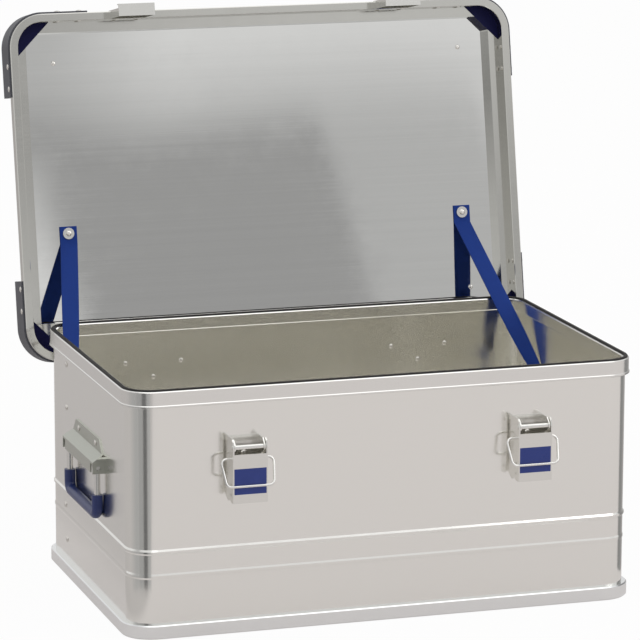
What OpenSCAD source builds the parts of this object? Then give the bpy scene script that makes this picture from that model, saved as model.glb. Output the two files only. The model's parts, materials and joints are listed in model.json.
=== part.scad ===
// Aluminium transport box with a hinged lid, drawn open.
// Origin at the middle of the box's underside, +Z up, front at -Y. Millimetres.
// The lid's pieces are drawn closed and swung open about the hinge pins.

/* [Box] */
// Clear width of the mouth, inside the rim
inner_w = 550; // [450:5:700]
// Clear depth of the mouth, inside the rim
inner_d = 350; // [300:5:450]
// Height of the rim's top edge above the ground
body_h = 265; // [245:5:400]
// Outer radius of the sheet's upright corners
corner_r = 28; // [24:1:34]
// Thickness of the wall, floor and lid sheets
sheet_t = 1; // [0.8:0.1:1.5]

/* [Rim and base rail] */
// How far the rim profile stands inside the wall sheet
rim_in = 3; // [2.5:0.5:5]
// How far the rim profile stands outside the wall sheet
rim_out = 4; // [3.5:0.5:5]
// Height of the rim's outer flange
rim_h = 17.5; // [16:0.5:19]
// Height of the rim's inner flange
rim_lip_h = 14; // [11:0.5:16]
// Extra thickness of the bead along the rim's lower edge
rim_bead = 0.8; // [0.4:0.1:1]
// How far the base rail stands outside the wall sheet
rail_out = 5.5; // [3:0.5:6]
// Height of the base rail's outer flange
rail_h = 15; // [12:0.5:20]
// Width of the base rail's shelf under the floor
rail_shelf = 13; // [10:0.5:18]
// Thickness of the base rail's shelf
rail_t = 2; // [1.5:0.25:3]

/* [Wall beads] */
// Height of the upper bead's middle above the ground
bead_z = 92.5; // [84:0.5:100]
// How far the upper bead stands out
bead_out = 1.4; // [1:0.1:2]
// Distance down from the upper bead to the lower one
bead_step = 26; // [20:1:40]
// How far the lower bead stands out
low_bead_out = 0.6; // [0.4:0.1:1]
// Height of each bead's foot
bead_h = 6; // [5:0.5:8]

/* [Seal] */
// Width of the rubber seal in the rim's groove
seal_w = 4.6; // [4:0.2:5]
// Depth of the groove that holds the seal
groove_depth = 3; // [2:0.5:3.5]
// How far the seal stands above the rim
seal_stand = 1.6; // [1:0.2:2.4]

/* [Lid] */
// Angle of the opened lid, where the straps stop it
lid_open = 101; // [90:1:105]
// Gap between the rim and the lid's skirt at the sides
lid_gap_side = 6; // [4:0.5:8]
// Gap between the rim and the lid's skirt at the front and back
lid_gap_front = 3.5; // [3:0.5:5]
// Thickness of the lid's skirt
skirt_t = 9; // [8:0.5:10]
// How far the skirt reaches below the seal's top
lid_overlap = 14; // [13:0.5:15]
// Height of the skirt's upright outer face
skirt_face_h = 12; // [11:0.5:13]
// Outer radius of the lid's corners
lid_r = 38; // [36:1:42]
// Gap between the closed lid's ledge and the seal
lid_clear = 0.2; // [0.1:0.1:0.5]
// Width of the frame from its outer face to the ledge's inner edge
ledge_w = 21; // [20:0.5:23]
// Height of the lid's hollow above the ledge
lid_hollow = 13.8; // [12:0.2:18]
// Wall thickness of the lid's hollow frame profile
frame_t = 1.6; // [1.2:0.1:2]
// How far the frame grips the edge of the lid sheet
sheet_grip = 12; // [10:0.5:13]
// Height of the frame's top flange above the lid sheet
top_flange = 2.4; // [2:0.2:3]
// Distance from the lid's outer face to the raised field
crown_margin = 70; // [66:1:80]
// Height of the lid sheet's raised field
crown_h = 4; // [2:0.5:6]
// Width of the long, soft slope of the raised field
crown_slope = 60; // [40:2:70]
// Corner radius of the raised field
crown_r = 30; // [24:1:40]

/* [Lid corners] */
// Length of a stacking corner along each side
stack_len = 92; // [86:1:94]
// Thickness of a stacking corner's wall
stack_t = 2; // [1.6:0.2:3]
// How far a stacking corner stands above the frame
stack_up = 5; // [3:0.5:8]
// Length of each leg of a corner insert
insert_leg = 40; // [36:1:46]
// Depth of the pocket that holds the insert's flange
insert_t = 1; // [0.8:0.1:1.2]

/* [Hinges] */
// Distance of the hinges and latches in from the mouth's ends
fitting_in = 117; // [105:1:130]
// Diameter of the hinge pins
pin_d = 3; // [2.5:0.1:3.2]
// Outer diameter of the hinge knuckles
knuckle_d = 6; // [5.4:0.2:6.2]
// Distance of the hinge pin behind the back wall
hinge_off = 3.6; // [3.4:0.1:3.8]
// Depth of the hinge pin below the seal's top
hinge_drop = 31.5; // [30:0.5:34]
// Width of a hinge leaf
leaf_w = 84; // [76:1:90]
// Thickness of a hinge leaf
leaf_t = 1.5; // [1.2:0.1:1.6]
// Length of the lid's knuckle
lid_knuckle = 27; // [22:1:32]
// Depth of a leaf's upper rivets below the seal's top
leaf_rivet_drop = 51; // [48:0.5:54]
// Distance down from the upper rivets to the lower one
leaf_rivet_step = 17; // [14:0.5:20]
// Spacing of a leaf's upper rivets
leaf_rivet_gap = 65; // [56:1:70]

/* [Latches] */
// Width of a latch lever
lever_w = 37.6; // [34:0.2:42]
// Thickness of the lever and base sheet
latch_t = 1.5; // [1.2:0.1:1.8]
// Distance of the lever's front from the wall
lever_out = 26.4; // [25:0.2:28]
// Height of the lever's front plate
lever_plate_h = 52; // [46:1:56]
// Distance of the lever's rod from the wall
rod_out = 21.3; // [20.5:0.1:22]
// Depth of the lever's rod below the seal's top
rod_drop = 62; // [60:0.5:64]
// Diameter of the lever's rod
rod_d = 5; // [4:0.2:5.4]
// Distance of the bail's pivot from the wall
bail_out = 14.6; // [14.2:0.1:15]
// Distance of the bail's pivot below the rod
bail_below = 13.4; // [12:0.2:15]
// Diameter of the bail's wire
wire_d = 2.8; // [2.4:0.1:3]
// Width of the bail between its corners at the pivots
bail_w = 58; // [54:1:64]
// Width of the bail's bar between its corners
bail_bar_w = 51; // [50:1:54]
// Size of the inlay in the lever's front, across and up
inlay = [35, 27.5];
// Depth of the inlay's pocket
inlay_t = 0.5; // [0.4:0.1:0.7]
// Distance of the inlay's top below the lever plate's top
inlay_drop = 15; // [12:0.5:18]

/* [Keepers] */
// Width of a keeper
keeper_w = 42; // [38:1:44]
// Thickness of the keeper's sheet
keeper_t = 1.2; // [1:0.1:1.5]
// Width of the groove that takes the bail's bar
keeper_groove = 3.4; // [3.2:0.1:3.8]
// Depth of that groove below the seal's top
keeper_drop = 47.2; // [46:0.2:48]
// Height of the keeper's hooked lip above the groove's floor
keeper_lip = 4.2; // [3:0.2:5]
// How far the keeper's foot reaches back under the skirt
keeper_back = 8; // [6:0.5:8.5]

/* [Side handles] */
// Half width of the bracket at its top edge
bracket_top_w = 50; // [44:1:54]
// Half width of the bracket at its fold
bracket_w = 66; // [62:1:72]
// Depth of the bracket's top edge below the seal's top
bracket_drop = 80; // [74:1:90]
// Height of the bracket
bracket_h = 34; // [32:1:38]
// Distance of the bracket's lip from the wall, inside
bracket_out = 11; // [10.8:0.2:13]
// Thickness of the bracket's sheet
bracket_t = 1.5; // [1.2:0.1:2]
// Diameter of the handle's steel rod
handle_d = 7; // [6:0.5:7]
// Distance of each handle leg in from the bracket's end
leg_in = 6; // [6:0.5:10]
// Length of the handle from its pivot to the grip's middle
handle_len = 52; // [46:1:60]
// Outer diameter of the grip
grip_d = 12; // [11:0.5:12]
// How far the grip reaches up each leg
grip_up = 16; // [12:1:20]
// Diameter of the handle's pivot rod
handle_pin_d = 4.6; // [4:0.2:5]
// Diameter of the eye at the top of each leg
eye_d = 9; // [8.6:0.2:9.4]
// Distance of the handle's pivot from the wall
handle_off = 6.3; // [6.3:0.1:6.4]

/* [Straps] */
// Width of the strap webbing
strap_w = 20; // [18:1:24]
// Thickness of the strap webbing
strap_t = 1.4; // [1:0.2:2]
// Distance of the strap's lid rivet from the lid's end faces
strap_side = 61.3; // [58:0.5:64]
// Distance of the strap's lid rivet from the lid's back face
strap_reach = 143; // [130:1:150]
// Distance of the strap's wall rivet behind the handle bracket's end
strap_wall_gap = 6; // [5:0.5:14]
// Depth of the strap's wall rivet below the seal's top
strap_wall_drop = 101; // [90:1:110]
// Diameter of the washers that hold the straps
washer_d = 13; // [11:0.5:15]
// Thickness of the washers
washer_t = 1.2; // [1:0.1:1.6]

/* [Rivets] */
// Diameter of a rivet's shank
rivet_d = 3.2; // [2.8:0.1:3.6]
// Diameter of a rivet's head
head_d = 6.6; // [6:0.2:7]
// Height of a rivet's head
head_h = 1.5; // [1.2:0.1:1.8]
// Diameter of a rivet's formed tail
tail_d = 5.2; // [4.6:0.2:5.6]
// Height of a rivet's formed tail
tail_h = 1; // [0.8:0.1:1.2]

/* [Hidden] */
$fn = 40;

// Running clearance of pins and rods in their bores, on the diameter
fit = 0.2;
// Clearance of rivet shanks in their holes, on the diameter
rivet_fit = 0.2;
// Gap between pieces that lie close to each other and move apart
near = 0.3;
// Overlap that makes a cut pass through a face
cut = 1;

// Wall sheet and rim
outer_w = inner_w + 2 * (rim_in + sheet_t);
outer_d = inner_d + 2 * (rim_in + sheet_t);
seal_top = body_h + seal_stand;
rim_w = outer_w + 2 * rim_out;
rim_d = outer_d + 2 * rim_out;
rim_web = 2;
sheet_top = body_h - groove_depth - rim_web;
edge = 1;

// Lid, closed
lid_w = rim_w + 2 * (lid_gap_side + skirt_t);
lid_d = rim_d + 2 * (lid_gap_front + skirt_t);
skirt_z = seal_top - lid_overlap;
ledge_z = seal_top + lid_clear;
lid_sheet_z = ledge_z + lid_hollow;
lid_sheet_top = lid_sheet_z + sheet_t;
frame_top = lid_sheet_top + top_flange;
slope_in = 6;
flange_w = ledge_w + 3;
skirt_top_z = skirt_z + skirt_face_h;

// Hinges
fitting_x = inner_w / 2 - fitting_in;
hinge_y = outer_d / 2 + hinge_off;
hinge_z = seal_top - hinge_drop;
skirt_off = rim_out + lid_gap_front;
leaf_bottom = seal_top - leaf_rivet_drop - leaf_rivet_step - 7;
leaf_rivets = [
    [-leaf_rivet_gap / 2, seal_top - leaf_rivet_drop],
    [leaf_rivet_gap / 2, seal_top - leaf_rivet_drop],
    [0, seal_top - leaf_rivet_drop - leaf_rivet_step]
];
lid_leaf_rivet_z = (skirt_z + ledge_z) / 2;

// Latches
rod_z = seal_top - rod_drop;
bail_z = rod_z - bail_below;
lever_top = rod_z - 7;
lever_bottom = lever_top - lever_plate_h;
side_in = 15.4;
base_w = lever_w - 2 * latch_t - 2 * 0.5;
base_top = rod_z + 8;
base_bottom = lever_bottom - 2.5;
base_flange = 10.5;
latch_rivet_z = [rod_z - 11, lever_bottom + 10];
stub_in = base_w / 2 + 0.2;
// Bar of the engaged bail, from the wall and above the ground
hook_out = lid_d / 2 - outer_d / 2 + keeper_t + keeper_groove / 2;
groove_z = seal_top - keeper_drop;
hook_z = groove_z + near + wire_d / 2;
bail_len = norm([hook_out - bail_out, hook_z - bail_z]);
bar_rest_out = lever_out + near + wire_d / 2;
bail_rest = asin((bar_rest_out - bail_out) / bail_len);
keeper_top = skirt_top_z - 0.5;
keeper_rivet_z = (skirt_z + keeper_top) / 2;

// Handles
bracket_top = seal_top - bracket_drop;
bracket_bottom = bracket_top - bracket_h;
handle_z = bracket_bottom + 6;
bracket_fold = bracket_bottom + 12;
bracket_flat = 14;
bracket_rivet_s = bracket_top_w - 14;
bracket_rivet_z = bracket_top - 7;
leg_slot = handle_d + 2;
handle_leg = bracket_w - leg_in;
pin_reach = bracket_w - 1;

// Straps: washer centres on the lid sheet (closed) and on the side walls
strap_wall_y = bracket_w + strap_wall_gap;
strap_lid = [lid_w / 2 - strap_side, lid_d / 2 - strap_reach];
strap_wall = [outer_w / 2 - sheet_t, strap_wall_y, seal_top - strap_wall_drop];
strap_steps = 10;

// Rivets of the left wall's seam, as [back along the wall, above the ground]
seam_y = outer_d / 2 - 81;
seam_rivets = [
    [seam_y - 2, seal_top - 29], [seam_y, seal_top - 78],
    [seam_y + 8, bead_z - bead_step / 2 - 3], [seam_y + 3, (rail_h + bead_z - bead_step) / 2 - 3]
];
corners = [[-1, -1], [1, -1], [-1, 1], [1, 1]];

// ---- helpers ----

// Carries a profile (x outwards from the path, y up) round a rounded rectangle
module ring(w, d, r) {
    for (k = [0:3]) rotate([0, 0, 90 * k]) {
        long = k % 2 == 0 ? w : d;
        span = k % 2 == 0 ? d : w;
        translate([long / 2, span / 2 - r, 0])
            rotate([90, 0, 0]) linear_extrude(span - 2 * r) children();
        translate([long / 2 - r, span / 2 - r, 0])
            rotate_extrude(angle = 90) translate([r, 0]) children();
    }
}

// Flat rounded rectangle
module rounded(w, d, r) {
    square([w - 2 * r, d], center = true);
    square([w, d - 2 * r], center = true);
    for (c = corners) translate([c[0] * (w / 2 - r), c[1] * (d / 2 - r)]) circle(r);
}

// Wall frames: x along the wall, y out of it, z above the ground
module at_front(x) translate([x, -outer_d / 2, 0]) rotate([0, 0, 180]) children();
module at_back(x) translate([x, outer_d / 2, 0]) children();
module at_side(s) translate([s * outer_w / 2, 0, 0]) rotate([0, 0, -90 * s]) children();
module at_lid_front(x) translate([x, -lid_d / 2, 0]) rotate([0, 0, 180]) children();

// Swings the closed lid's pieces open about the hinge pins
module opened() translate([0, hinge_y, hinge_z]) rotate([-lid_open, 0, 0])
    translate([0, -hinge_y, -hinge_z]) children();

// The same swing for a point, given as [y, z]
function swing(p) = [
    hinge_y + (p[0] - hinge_y) * cos(lid_open) + (p[1] - hinge_z) * sin(lid_open),
    hinge_z - (p[0] - hinge_y) * sin(lid_open) + (p[1] - hinge_z) * cos(lid_open)
];

// Plate whose outline lies in the wall frame's x and z, from depth y by thickness t
module upright(y, t) translate([0, y + t, 0]) rotate([90, 0, 0]) linear_extrude(t) children();

// Piece whose outline lies in the wall frame's y and z, centred on x
module across(w) rotate([90, 0, 90]) linear_extrude(w, center = true) children();

// Cylinder along the wall frame's x
module axle(y, z, d, w) translate([0, y, z]) rotate([0, 90, 0]) cylinder(d = d, h = w, center = true);

// Rivet along +y, its stack from y0 to y1, head at y1 and tail at y0
module rivet(x, z, y0, y1) translate([x, 0, z]) rotate([-90, 0, 0]) {
    translate([0, 0, y0]) cylinder(d = rivet_d, h = y1 - y0);
    translate([0, 0, y1]) rivet_cap(head_d, head_h);
    translate([0, 0, y0]) mirror([0, 0, 1]) rivet_cap(tail_d, tail_h);
}

// Domed head, standing on z = 0
module rivet_cap(d, h) rotate_extrude()
    polygon([[0, 0], [d / 2, 0], [d / 2, 0.3 * h], [0.42 * d, 0.62 * h], [0.26 * d, 0.9 * h], [0, h]]);

// Hole for a rivet along y, from y0 to y1
module rivet_hole(x, z, y0, y1) translate([x, y0 - cut, z]) rotate([-90, 0, 0])
    cylinder(d = rivet_d + rivet_fit, h = y1 - y0 + 2 * cut);

// Round bar between two points
module bar(a, b, d) {
    v = b - a;
    translate(a) rotate([0, acos(v[2] / norm(v)), atan2(v[1], v[0])]) cylinder(d = d, h = norm(v));
}

// ---- box ----

// Outline of a pressed bead, as points [out, z] going up
function bead(z, out) = [
    [0, z - bead_h / 2], [out, z - bead_h / 6], [out, z + bead_h / 6], [0, z + bead_h / 2]
];

module wall_profile() {
    line = concat(
        [[0, rail_t]], bead(bead_z - bead_step, low_bead_out), bead(bead_z, bead_out), [[0, sheet_top]]
    );
    n = len(line);
    polygon(concat(line, [for (i = [n - 1:-1:0]) [line[i][0] - sheet_t, line[i][1]]]));
}

module wall_sheet() color([0.80, 0.79, 0.78]) difference() {
    ring(outer_w, outer_d, corner_r) wall_profile();
    for (s = [-1, 1]) {
        at_back(s * fitting_x) for (p = leaf_rivets) rivet_hole(p[0], p[1], -sheet_t, 0);
        at_front(s * fitting_x) for (z = latch_rivet_z) rivet_hole(0, z, -sheet_t, 0);
        at_side(s) {
            for (k = [-1, 1]) rivet_hole(k * bracket_rivet_s, bracket_rivet_z, -sheet_t, 0);
            rivet_hole(-s * strap_wall[1], strap_wall[2], -sheet_t, 0);
        }
    }
    at_side(-1) for (p = seam_rivets) rivet_hole(p[0], p[1], -sheet_t, 0);
}

module floor_sheet() color([0.66, 0.65, 0.62]) translate([0, 0, rail_t])
    linear_extrude(sheet_t)
        rounded(outer_w - 2 * sheet_t, outer_d - 2 * sheet_t, corner_r - sheet_t);

module rim_frame() color([0.83, 0.83, 0.82]) translate([0, 0, body_h])
    ring(outer_w, outer_d, corner_r) polygon([
        [0, -rim_h], [rim_out + rim_bead - 0.4, -rim_h], [rim_out + rim_bead, -rim_h + 0.4],
        [rim_out + rim_bead, -rim_h + 2], [rim_out, -rim_h + 2.8],
        [rim_out, -edge], [rim_out - edge, 0],
        [groove_out, 0], [groove_out, -groove_depth], [groove_in, -groove_depth], [groove_in, 0],
        [edge - rim_back, 0], [-rim_back, -edge],
        [-rim_back, -rim_lip_h + edge], [edge - rim_back, -rim_lip_h], [-sheet_t, -rim_lip_h],
        [-sheet_t, sheet_top - body_h], [0, sheet_top - body_h]
    ]);

// The rim's inner face and its groove, out from the sheet's outer face
rim_back = rim_in + sheet_t;
seal_mid = 0.4;
groove_out = seal_mid + seal_w / 2;
groove_in = seal_mid - seal_w / 2;

module rim_seal() color([0.09, 0.09, 0.09]) translate([0, 0, body_h])
    ring(outer_w, outer_d, corner_r) polygon([
        [groove_in, -groove_depth], [groove_out, -groove_depth],
        [groove_out, seal_stand - 1], [groove_out - 0.9, seal_stand],
        [groove_in + 0.9, seal_stand], [groove_in, seal_stand - 1]
    ]);

module base_rail() color([0.83, 0.83, 0.82]) ring(outer_w, outer_d, corner_r) polygon([
    [-rail_shelf, 0], [rail_out - 1.5, 0], [rail_out, 1.5],
    [rail_out, rail_h - 1.2], [rail_out - 1.2, rail_h], [0, rail_h],
    [0, rail_t], [-rail_shelf, rail_t]
]);

module wall_seam_rivets() color([0.72, 0.71, 0.69])
    at_side(-1) for (p = seam_rivets) rivet(p[0], p[1], -sheet_t, 0);

// ---- hinges ----

module hinge_leaf(s) color([0.70, 0.70, 0.68]) at_back(s * fitting_x) difference() {
    union() {
        upright(0, leaf_t) polygon([
            [-leaf_w / 2, hinge_z], [leaf_w / 2, hinge_z], [leaf_w / 2, leaf_rivets[0][1] - 6],
            [12, leaf_bottom], [-12, leaf_bottom], [-leaf_w / 2, leaf_rivets[0][1] - 6]
        ]);
        axle(hinge_off, hinge_z, knuckle_d, leaf_w);
    }
    axle(hinge_off, hinge_z, pin_d + fit / 2, leaf_w + 2 * cut);
    translate([0, hinge_off, hinge_z])
        cube([lid_knuckle + 2 * near, knuckle_d + 3, knuckle_d + 3], center = true);
    for (p = leaf_rivets) rivet_hole(p[0], p[1], 0, leaf_t);
}

module hinge_pin(s) color([0.55, 0.55, 0.54]) at_back(s * fitting_x)
    axle(hinge_off, hinge_z, pin_d, leaf_w);

module hinge_rivets() color([0.75, 0.74, 0.72]) for (s = [-1, 1])
    at_back(s * fitting_x) for (p = leaf_rivets) rivet(p[0], p[1], -sheet_t, leaf_t);

// The lid's leaf rises from its knuckle and lies on the skirt's inner face
module lid_leaf(s) color([0.70, 0.70, 0.68]) opened() at_back(s * fitting_x) difference() {
    union() {
        axle(hinge_off, hinge_z, knuckle_d, lid_knuckle);
        across(lid_knuckle) polygon([
            [knuckle_out - leaf_t, hinge_z], [knuckle_out, hinge_z], [knuckle_out, skirt_z - 4],
            [skirt_off, skirt_z - 1.5], [skirt_off, ledge_z - 1],
            [skirt_off - leaf_t, ledge_z - 1], [skirt_off - leaf_t, skirt_z - 1],
            [knuckle_out - leaf_t, skirt_z - 3.4]
        ]);
        translate([-leaf_w / 2, skirt_off - leaf_t, skirt_z])
            cube([leaf_w, leaf_t, ledge_z - 1 - skirt_z]);
    }
    axle(hinge_off, hinge_z, pin_d + fit, leaf_w);
    for (k = [-1, 1]) rivet_hole(k * leaf_rivet_gap / 2, lid_leaf_rivet_z, skirt_off - leaf_t, skirt_off);
}
knuckle_out = hinge_off + knuckle_d / 2;

module lid_leaf_rivets() color([0.75, 0.74, 0.72]) opened() for (s = [-1, 1])
    at_back(s * fitting_x) for (k = [-1, 1])
        flush_rivet(k * leaf_rivet_gap / 2, lid_leaf_rivet_z, skirt_off - leaf_t, skirt_off + skirt_t);

// Rivet with a low tail, for tight places
module flush_rivet(x, z, y0, y1) translate([x, 0, z]) rotate([-90, 0, 0]) {
    translate([0, 0, y0 - 0.6]) cylinder(d = rivet_d, h = y1 - y0 + 0.6);
    translate([0, 0, y0 - 0.6]) cylinder(d = tail_d, h = 0.6);
    translate([0, 0, y1]) rivet_cap(head_d, head_h);
}

// ---- lid ----

module lid_profile() difference() {
    polygon([
        [-skirt_t + 0.5, skirt_z], [-edge, skirt_z], [0, skirt_z + edge], [0, skirt_top_z],
        [-slope_in, frame_top - 6], [-slope_in - 3, frame_top - 1.6], [-slope_in - 6, frame_top],
        [-flange_w, frame_top], [-flange_w, lid_sheet_top], [-sheet_grip, lid_sheet_top],
        [-sheet_grip, lid_sheet_z], [-ledge_w, lid_sheet_z], [-ledge_w, ledge_z],
        [-skirt_t, ledge_z], [-skirt_t, skirt_z + 0.5]
    ]);
    polygon([
        [frame_t - ledge_w, ledge_z + frame_t], [-frame_t - 2.6, ledge_z + frame_t],
        [-frame_t - slope_in, lid_sheet_z - 2 * frame_t], [-sheet_grip, lid_sheet_z - frame_t],
        [frame_t - ledge_w, lid_sheet_z - frame_t]
    ]);
    polygon([
        [frame_t - skirt_t, skirt_z + frame_t], [-frame_t, skirt_z + frame_t],
        [-frame_t, skirt_top_z], [-frame_t - 0.6, ledge_z], [frame_t - skirt_t, ledge_z]
    ]);
}

// Corner of the lid outside the insert's straight edge, as a flat triangle
module insert_corner(c, gap) {
    p = [lid_w / 2 - skirt_t, lid_d / 2 - skirt_t];
    far = 60;
    polygon([
        [c[0] * (p[0] - insert_leg + gap), c[1] * (p[1] + far)],
        [c[0] * (p[0] - insert_leg + gap), c[1] * p[1]],
        [c[0] * p[0], c[1] * (p[1] - insert_leg + gap)],
        [c[0] * (p[0] + far), c[1] * (p[1] - insert_leg + gap)],
        [c[0] * (p[0] + far), c[1] * (p[1] + far)]
    ]);
}

module lid_frame() color([0.80, 0.80, 0.79]) opened() difference() {
    ring(lid_w, lid_d, lid_r) lid_profile();
    for (c = corners) translate([0, 0, ledge_z - cut]) linear_extrude(insert_t + cut) intersection() {
        rounded(lid_w - 2 * skirt_t, lid_d - 2 * skirt_t, lid_r - skirt_t);
        insert_corner(c, 0);
    }
    for (s = [-1, 1]) {
        at_back(s * fitting_x) for (k = [-1, 1])
            rivet_hole(k * leaf_rivet_gap / 2, lid_leaf_rivet_z, skirt_off, skirt_off + skirt_t);
        at_lid_front(s * fitting_x) for (k = [-1, 1])
            rivet_hole(k * keeper_rivet_x, keeper_rivet_z, -skirt_t, 0);
    }
    stack_rivets() rivet_hole(0, 0, -skirt_t, 0);
}
keeper_rivet_x = 13;

// Lid sheet with a raised field
module lid_sheet() color([0.76, 0.75, 0.74]) opened() difference() {
    union() {
        translate([0, 0, lid_sheet_z]) linear_extrude(sheet_t)
            rounded(lid_w - 2 * sheet_grip, lid_d - 2 * sheet_grip, lid_r - sheet_grip);
        crown(lid_sheet_z + sheet_t);
    }
    crown(lid_sheet_z);
    for (s = [-1, 1]) translate([s * strap_lid[0], strap_lid[1], lid_sheet_z - cut])
        cylinder(d = rivet_d + rivet_fit, h = sheet_t + 2 * cut);
    for (c = corners) translate([c[0] * (lid_w / 2 - tab_rivet), c[1] * (lid_d / 2 - tab_rivet),
                                 lid_sheet_z - cut])
        cylinder(d = rivet_d + rivet_fit, h = sheet_t + 2 * cut);
}
tab_rivet = 55;

module crown(z) translate([0, 0, z]) hull() {
    translate([0, 0, -0.5]) linear_extrude(0.5) crown_outline(0);
    translate([0, 0, crown_h - 0.1]) linear_extrude(0.1) crown_outline(crown_slope);
}
module crown_outline(inset)
    rounded(lid_w - 2 * (crown_margin + inset), lid_d - 2 * (crown_margin + inset), crown_r);

module lid_insert(c) color([0.06, 0.07, 0.24]) opened() {
    translate([0, 0, ledge_z]) linear_extrude(insert_t) intersection() {
        rounded(lid_w - 2 * skirt_t - 0.2, lid_d - 2 * skirt_t - 0.2, lid_r - skirt_t - 0.1);
        insert_corner(c, 0.1);
    }
    translate([0, 0, ledge_z + insert_t]) linear_extrude(lid_hollow - insert_t) intersection() {
        rounded(lid_w - 2 * ledge_w - 0.2, lid_d - 2 * ledge_w - 0.2, lid_r - ledge_w - 0.1);
        insert_corner(c, 0.1);
    }
}

// ---- stacking corners ----

module stack_block(c) translate([c[0] * lid_w / 2, c[1] * lid_d / 2, 0])
    cube([2 * stack_len, 2 * stack_len, 4 * frame_top], center = true);

module stack_corner(c) color([0.33, 0.33, 0.36]) opened() difference() {
    union() {
        intersection() {
            ring(lid_w, lid_d, lid_r) polygon([
                [0, skirt_z + 3], [stack_t, skirt_z + 3], [stack_t, frame_top + stack_up - 1],
                [stack_t - 1, frame_top + stack_up], [-2, frame_top + stack_up],
                [-4, frame_top + 1.6], [-flange_w, frame_top + 1.6], [-flange_w, frame_top],
                [-slope_in - 6, frame_top], [-slope_in - 3, frame_top - 1.6],
                [-slope_in, frame_top - 6], [0, skirt_top_z]
            ]);
            stack_block(c);
        }
        translate([0, 0, lid_sheet_top]) linear_extrude(top_flange + 1.6) intersection() {
            rounded(lid_w - 2 * flange_w, lid_d - 2 * flange_w, lid_r - flange_w);
            translate([c[0] * lid_w / 2, c[1] * lid_d / 2]) circle(stack_len);
        }
    }
    stack_rivets() rivet_hole(0, 0, 0, stack_t);
    translate([c[0] * (lid_w / 2 - tab_rivet), c[1] * (lid_d / 2 - tab_rivet), lid_sheet_top - cut])
        cylinder(d = rivet_d + rivet_fit, h = top_flange + 1.6 + 2 * cut);
}

// Places along both legs of each stacking corner, y out of the lid's face
stack_rivet_at = [58, 83];
stack_rivet_z = skirt_z + 7.5;
module stack_rivets() for (a = stack_rivet_at, s = [-1, 1]) {
    for (k = [-1, 1]) {
        translate([k * (lid_w / 2 - a), s * lid_d / 2, stack_rivet_z])
            rotate([0, 0, s > 0 ? 0 : 180]) children();
        translate([k * lid_w / 2, s * (lid_d / 2 - a), stack_rivet_z])
            rotate([0, 0, -90 * k]) children();
    }
}

module stack_corner_rivets() color([0.75, 0.74, 0.72]) opened() {
    stack_rivets() flush_rivet(0, 0, -skirt_t, stack_t);
    for (c = corners) translate([c[0] * (lid_w / 2 - tab_rivet), c[1] * (lid_d / 2 - tab_rivet), 0]) {
        translate([0, 0, lid_sheet_z]) cylinder(d = rivet_d, h = sheet_t + top_flange + 1.6);
        translate([0, 0, lid_sheet_top + top_flange + 1.6]) rivet_cap(head_d, head_h);
        translate([0, 0, lid_sheet_z]) mirror([0, 0, 1]) rivet_cap(tail_d, tail_h);
    }
}

// ---- keepers ----

module keeper(s) color([0.68, 0.68, 0.62]) opened() at_lid_front(s * fitting_x) difference() {
    union() {
        across(keeper_w) polygon([
            [0, keeper_top], [keeper_t, keeper_top], [keeper_t, groove_z],
            [keeper_t + keeper_groove, groove_z], [keeper_t + keeper_groove, groove_z + keeper_lip],
            [2 * keeper_t + keeper_groove, groove_z + keeper_lip],
            [2 * keeper_t + keeper_groove, groove_z - keeper_t], [-keeper_back, groove_z - keeper_t],
            [-keeper_back, groove_z], [0, groove_z]
        ]);
        for (k = [-1, 1]) translate([k * (keeper_w - keeper_t) / 2, 0, 0]) across(keeper_t)
            polygon([[0, groove_z], [0, skirt_z], [-keeper_back, skirt_z], [-keeper_back, groove_z]]);
    }
    for (k = [-1, 1]) rivet_hole(k * keeper_rivet_x, keeper_rivet_z, 0, keeper_t);
}

module keeper_rivets() color([0.75, 0.74, 0.72]) opened() for (s = [-1, 1])
    at_lid_front(s * fitting_x) for (k = [-1, 1])
        flush_rivet(k * keeper_rivet_x, keeper_rivet_z, -skirt_t, keeper_t);

// ---- latches ----

module latch_base(s) color([0.62, 0.62, 0.60]) at_front(s * fitting_x) difference() {
    union() {
        translate([-base_w / 2, 0, base_bottom]) cube([base_w, latch_t, base_top - base_bottom]);
        for (k = [-1, 1]) translate([k * (base_w - latch_t) / 2, 0, 0]) across(latch_t) {
            polygon([
                [0, base_bottom], [base_flange, base_bottom + 5], [base_flange, rod_z - 11],
                [rod_out + 3, rod_z - 3], [rod_out + 3, rod_z + 3], [rod_out - 3, base_top], [0, base_top]
            ]);
            translate([rod_out, rod_z]) circle(4.2);
        }
    }
    axle(rod_out, rod_z, rod_d + fit / 2, lever_w);
    for (z = latch_rivet_z) rivet_hole(0, z, 0, latch_t);
}

module latch_rod(s) color([0.86, 0.86, 0.85]) at_front(s * fitting_x)
    axle(rod_out, rod_z, rod_d, lever_w + 1);

module latch_base_rivets() color([0.75, 0.74, 0.72]) for (s = [-1, 1])
    at_front(s * fitting_x) for (z = latch_rivet_z) rivet(0, z, -sheet_t, latch_t);

module latch_lever(s) color([0.80, 0.79, 0.76]) at_front(s * fitting_x) difference() {
    union() {
        translate([-lever_w / 2, lever_out - latch_t, lever_bottom])
            cube([lever_w, latch_t, lever_plate_h]);
        for (k = [-1, 1]) translate([k * (lever_w - latch_t) / 2, 0, 0]) across(latch_t) polygon([
            [lever_out, lever_bottom], [lever_out, rod_z], [lever_out - 1.6, rod_z + 6.4],
            [lever_out - 5.4, rod_z + 8.6], [side_in, rod_z + 7], [lever_in, rod_z + 1.5],
            [lever_in, lever_bottom + 16], [side_in, lever_bottom + 2], [side_in + 2.4, lever_bottom]
        ]);
    }
    axle(rod_out, rod_z, rod_d + fit, lever_w + 2 * cut);
    axle(bail_out, bail_z, wire_d + fit, lever_w + 2 * cut);
    inlay_block(inlay_t + cut);
    for (up = lever_holes) axle(lever_out - 8, lever_bottom + up, 3, lever_w + 2 * cut);
}
lever_in = 11;
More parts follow.
